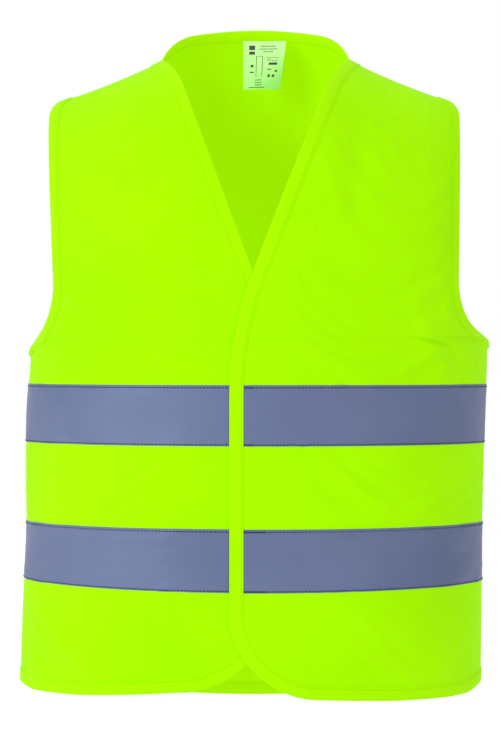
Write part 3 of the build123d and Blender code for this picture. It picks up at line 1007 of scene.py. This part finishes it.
for name, side in SIDES.items():
    sheet = sheets[name]
    cloth = panel(f"{name}_front_cloth", sheet, CLOTH_MATERIAL)
    sewn(cloth, name, [f"{name}_front_panel"])
    row, column = rim_of(sheet)
    bind(f"{name}_front_edge", name, sheet, row, column, side)
    column = np.full(len(armhole), float(sheet.columns))
    bind(f"{name}_armhole_front", name, sheet, armhole, column, -side)
    column = np.full(len(armhole), float(BACK_COLUMNS if side > 0 else 0))
    bind(f"{name}_armhole_back", "back", back, armhole, column, side)
    for level, rows in tape_rows.items():
        starts = band_starts(sheet, side, rows)
        add_tape(f"{name}_front", name, sheet, level, starts, tacked=name == "left")

    # Overlocked allowances inside the seams: turned to the back at the shoulder, spread at the side. They
    # take the lit copy of the knit, with the back's painted backlight glow
    ridge = BACK_COLUMNS / 2 * (1 + side * np.linspace(NECK_SHARE + 0.03, 0.97, 60))
    lines = back.strip(np.zeros(60), ridge, side, np.linspace(0.0004, ALLOWANCE, 6))[0]
    fold = flat_strip(f"{name}_shoulder_allowance", lines, BACKLIT_KNIT_MATERIAL)
    thread = overlock(f"{name}_shoulder_overlock", lines[1:-1:3])
    sewn(
        fold, "back", [f"{name}_shoulder_seam"], [thread],
    )
    edge_of_back = np.full(len(side_rows), float(BACK_COLUMNS if side > 0 else 0))
    edge_of_front = np.full(len(side_rows), float(sheet.columns))
    halves = np.linspace(0.0003, ALLOWANCE / 2, 4)
    lines = back.strip(side_rows, edge_of_back, side, halves)[0][::-1]
    lines += sheet.strip(side_rows, edge_of_front, -side, halves)[0]
    spread = flat_strip(f"{name}_side_allowance", lines, BACKLIT_KNIT_MATERIAL)
    thread = overlock(f"{name}_side_overlock", lines[1:-1:5])
    for part in (spread, thread):
        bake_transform(part)
    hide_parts(f"{name}_side_seam")


def column_near(sheet, row, across):
    """The column of a front where it crosses a place across, at a row."""
    line = sheet.at(np.full(sheet.columns + 1, float(row)), np.arange(sheet.columns + 1.0))[:, 0]
    order = np.argsort(line)
    return float(np.interp(across, line[order], np.arange(sheet.columns + 1.0)[order]))


def add_patch(level, name, kind, out, material):
    """One half of the closure, sewn on over the edge binding."""
    sheet, node_name = sheets[name], f"{level}_{kind}_patch"
    low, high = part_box(node_name)
    rows = np.linspace(row_at(high.z), row_at(low.z), 15)[:, None]
    ends = [column_near(sheet, rows.mean(), place) for place in (low.x, high.x)]
    columns = np.linspace(min(ends), max(ends), 9)[None, :]
    rows, columns = np.broadcast_arrays(rows, columns)
    far = out + math.copysign(PATCH_WALL, out)
    faces = [sheet.off(rows, columns, np.full(rows.shape, face)) for face in sorted((out, far))]
    patch = slab(f"{level}_{kind}", *faces, material)
    inset_rows = rows[1:-1, 0]
    inset = columns[0, [0, -1]] + np.array([0.25, -0.25])
    runs = [stitch_run(sheet, inset_rows, np.full(len(inset_rows), c), far) for c in inset]
    thread = stitching(f"{level}_{kind}_stitches", runs, GREEN_THREAD)
    sewn(patch, name, [node_name], [thread])


for level in tape_rows:
    add_patch(level, "left", "hook", -PATCH_OUT, HOOKS)
    add_patch(level, "right", "loop", PATCH_OUT, LOOPS)


def label_surface(s, t):
    """The label at a share across and down: it hangs from its top edge, its lower corner curled back."""
    low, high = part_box("neck_label")
    width, height = high.x - low.x, high.z - low.z
    curl = np.clip(s + t - 1.15, 0, 1)
    x = low.x + width * (s - 0.10 * s * t - 0.05 * curl)
    y = low.y - 0.0004 + 0.0035 * t**2 + 0.012 * curl**2 + 0.0007 * np.sin(3 * s + 5 * t)
    z = high.z - height * (t - 0.03 * s * t)
    return np.stack([x, y, z], -1)


def label_patch(name, span_s, span_t, counts, front, thickness, material):
    """A piece of the label between shares across and down, a distance in front of it."""
    t, s = np.meshgrid(np.linspace(*span_t, counts[1]), np.linspace(*span_s, counts[0]), indexing="ij")
    face = label_surface(s, t)
    toward = np.array([0, -1, 0])
    return slab(name, face + toward * front, face + toward * (front + thickness), material)


def add_label():
    """The label and its generic marks: blocks, rows of dashes and an outline, with no lettering."""
    label = label_patch("label", (0, 1), (0, 1), (17, 19), 0, 0.00025, LABEL_MATERIAL)
    marks = [
        ((0.14, 0.28), (0.09, 0.185)),
        ((0.14, 0.28), (0.215, 0.28)),
        ((0.18, 0.25), (0.49, 0.545)),
        ((0.16, 0.26), (0.635, 0.66)),
        ((0.14, 0.56), (0.955, 0.967)),
        ((0.60, 0.70), (0.58, 0.60)),
        ((0.80, 0.86), (0.61, 0.645)),
        ((0.62, 0.84), (0.45, 0.50)),
        ((0.62, 0.68), (0.70, 0.75)),
        ((0.74, 0.80), (0.70, 0.75)),
    ]
    for line, (start, end) in enumerate([(0.42, 0.78), (0.39, 0.82), (0.48, 0.72)]):
        marks += dashes(start, end, 0.095 + 0.058 * line, 0.022)
    for line, end in enumerate([0.86, 0.70, 0.86]):
        marks += dashes(0.58, end, 0.335 + 0.035 * line, 0.014)
    for line in range(3):
        marks += dashes(0.30, 0.48, 0.80 + 0.05 * line, 0.018)
    marks += [((0.31, 0.325), (0.32, 0.74)), ((0.46, 0.475), (0.32, 0.74)), ((0.31, 0.475), (0.31, 0.32))]
    made = [
        label_patch(f"label_mark_{k}", *mark, (6, 12), 0.00028, 0.00006, LABEL_INK)
        for k, mark in enumerate(marks)
    ]
    bpy.ops.object.select_all(action="DESELECT")
    for mark in made:
        mark.select_set(True)
    bpy.context.view_layer.objects.active = made[0]
    bpy.ops.object.join()
    made[0].name = "label_marks"
    sewn(label, "label", ["neck_label"], [made[0]])


def dashes(start, end, top, height, pitch=0.052):
    """A row of short dashes, as shares across and down the label."""
    count = max(1, round((end - start) / pitch))
    step = (end - start) / count
    return [
        ((start + k * step, start + (k + 0.72) * step), (top, top + height)) for k in range(count)
    ]


add_label()


# ---- stage, light and camera


FLOOR_REACH = 8.0
FLOOR_Z = -0.95
KEY_PLACE = Vector((-1.7, -1.9, 0.7))
AIM = Vector((0, 0, -0.28))
CAMERA_PLACE = (-0.0026, -2.2, -0.2635)


def stage_scene():
    """A wide pale floor, white surroundings, one large soft light and the camera."""
    floor_mesh = bpy.data.meshes.new("floor")
    corners = [(x * FLOOR_REACH, y * FLOOR_REACH, FLOOR_Z) for x, y in ((-1, -1), (1, -1), (1, 1), (-1, 1))]
    floor_mesh.from_pydata(corners, [], [(0, 1, 2, 3)])
    floor = new_object("floor", floor_mesh)
    material, _, _ = material_with(
        "floor",
        Base_Color=(0.86, 0.86, 0.86, 1),
        Roughness=0.95,
        Emission_Color=(1, 1, 1, 1),
        Emission_Strength=0.2,
    )
    floor_mesh.materials.append(material)
    scene = bpy.context.scene
    scene.world = bpy.data.worlds.new("studio")
    scene.world.use_nodes = True
    background = scene.world.node_tree.nodes["Background"]
    background.inputs["Color"].default_value = (1, 1, 1, 1)
    background.inputs["Strength"].default_value = 1.0
    lamp = bpy.data.lights.new("key", "AREA")
    lamp.size = 1.0
    lamp.energy = 42.0
    light = bpy.data.objects.new("key", lamp)
    light.location = KEY_PLACE
    light.rotation_euler = (AIM - KEY_PLACE).to_track_quat("-Z", "Y").to_euler()
    scene.collection.objects.link(light)
    camera_data = bpy.data.cameras.new("camera")
    camera_data.lens = 124
    camera_data.sensor_width = 36
    camera = bpy.data.objects.new("camera", camera_data)
    camera.location = CAMERA_PLACE
    camera.rotation_euler = (math.pi / 2, 0, 0)
    scene.collection.objects.link(camera)
    scene.camera = camera
    scene.view_settings.view_transform = "Standard"


stage_scene()
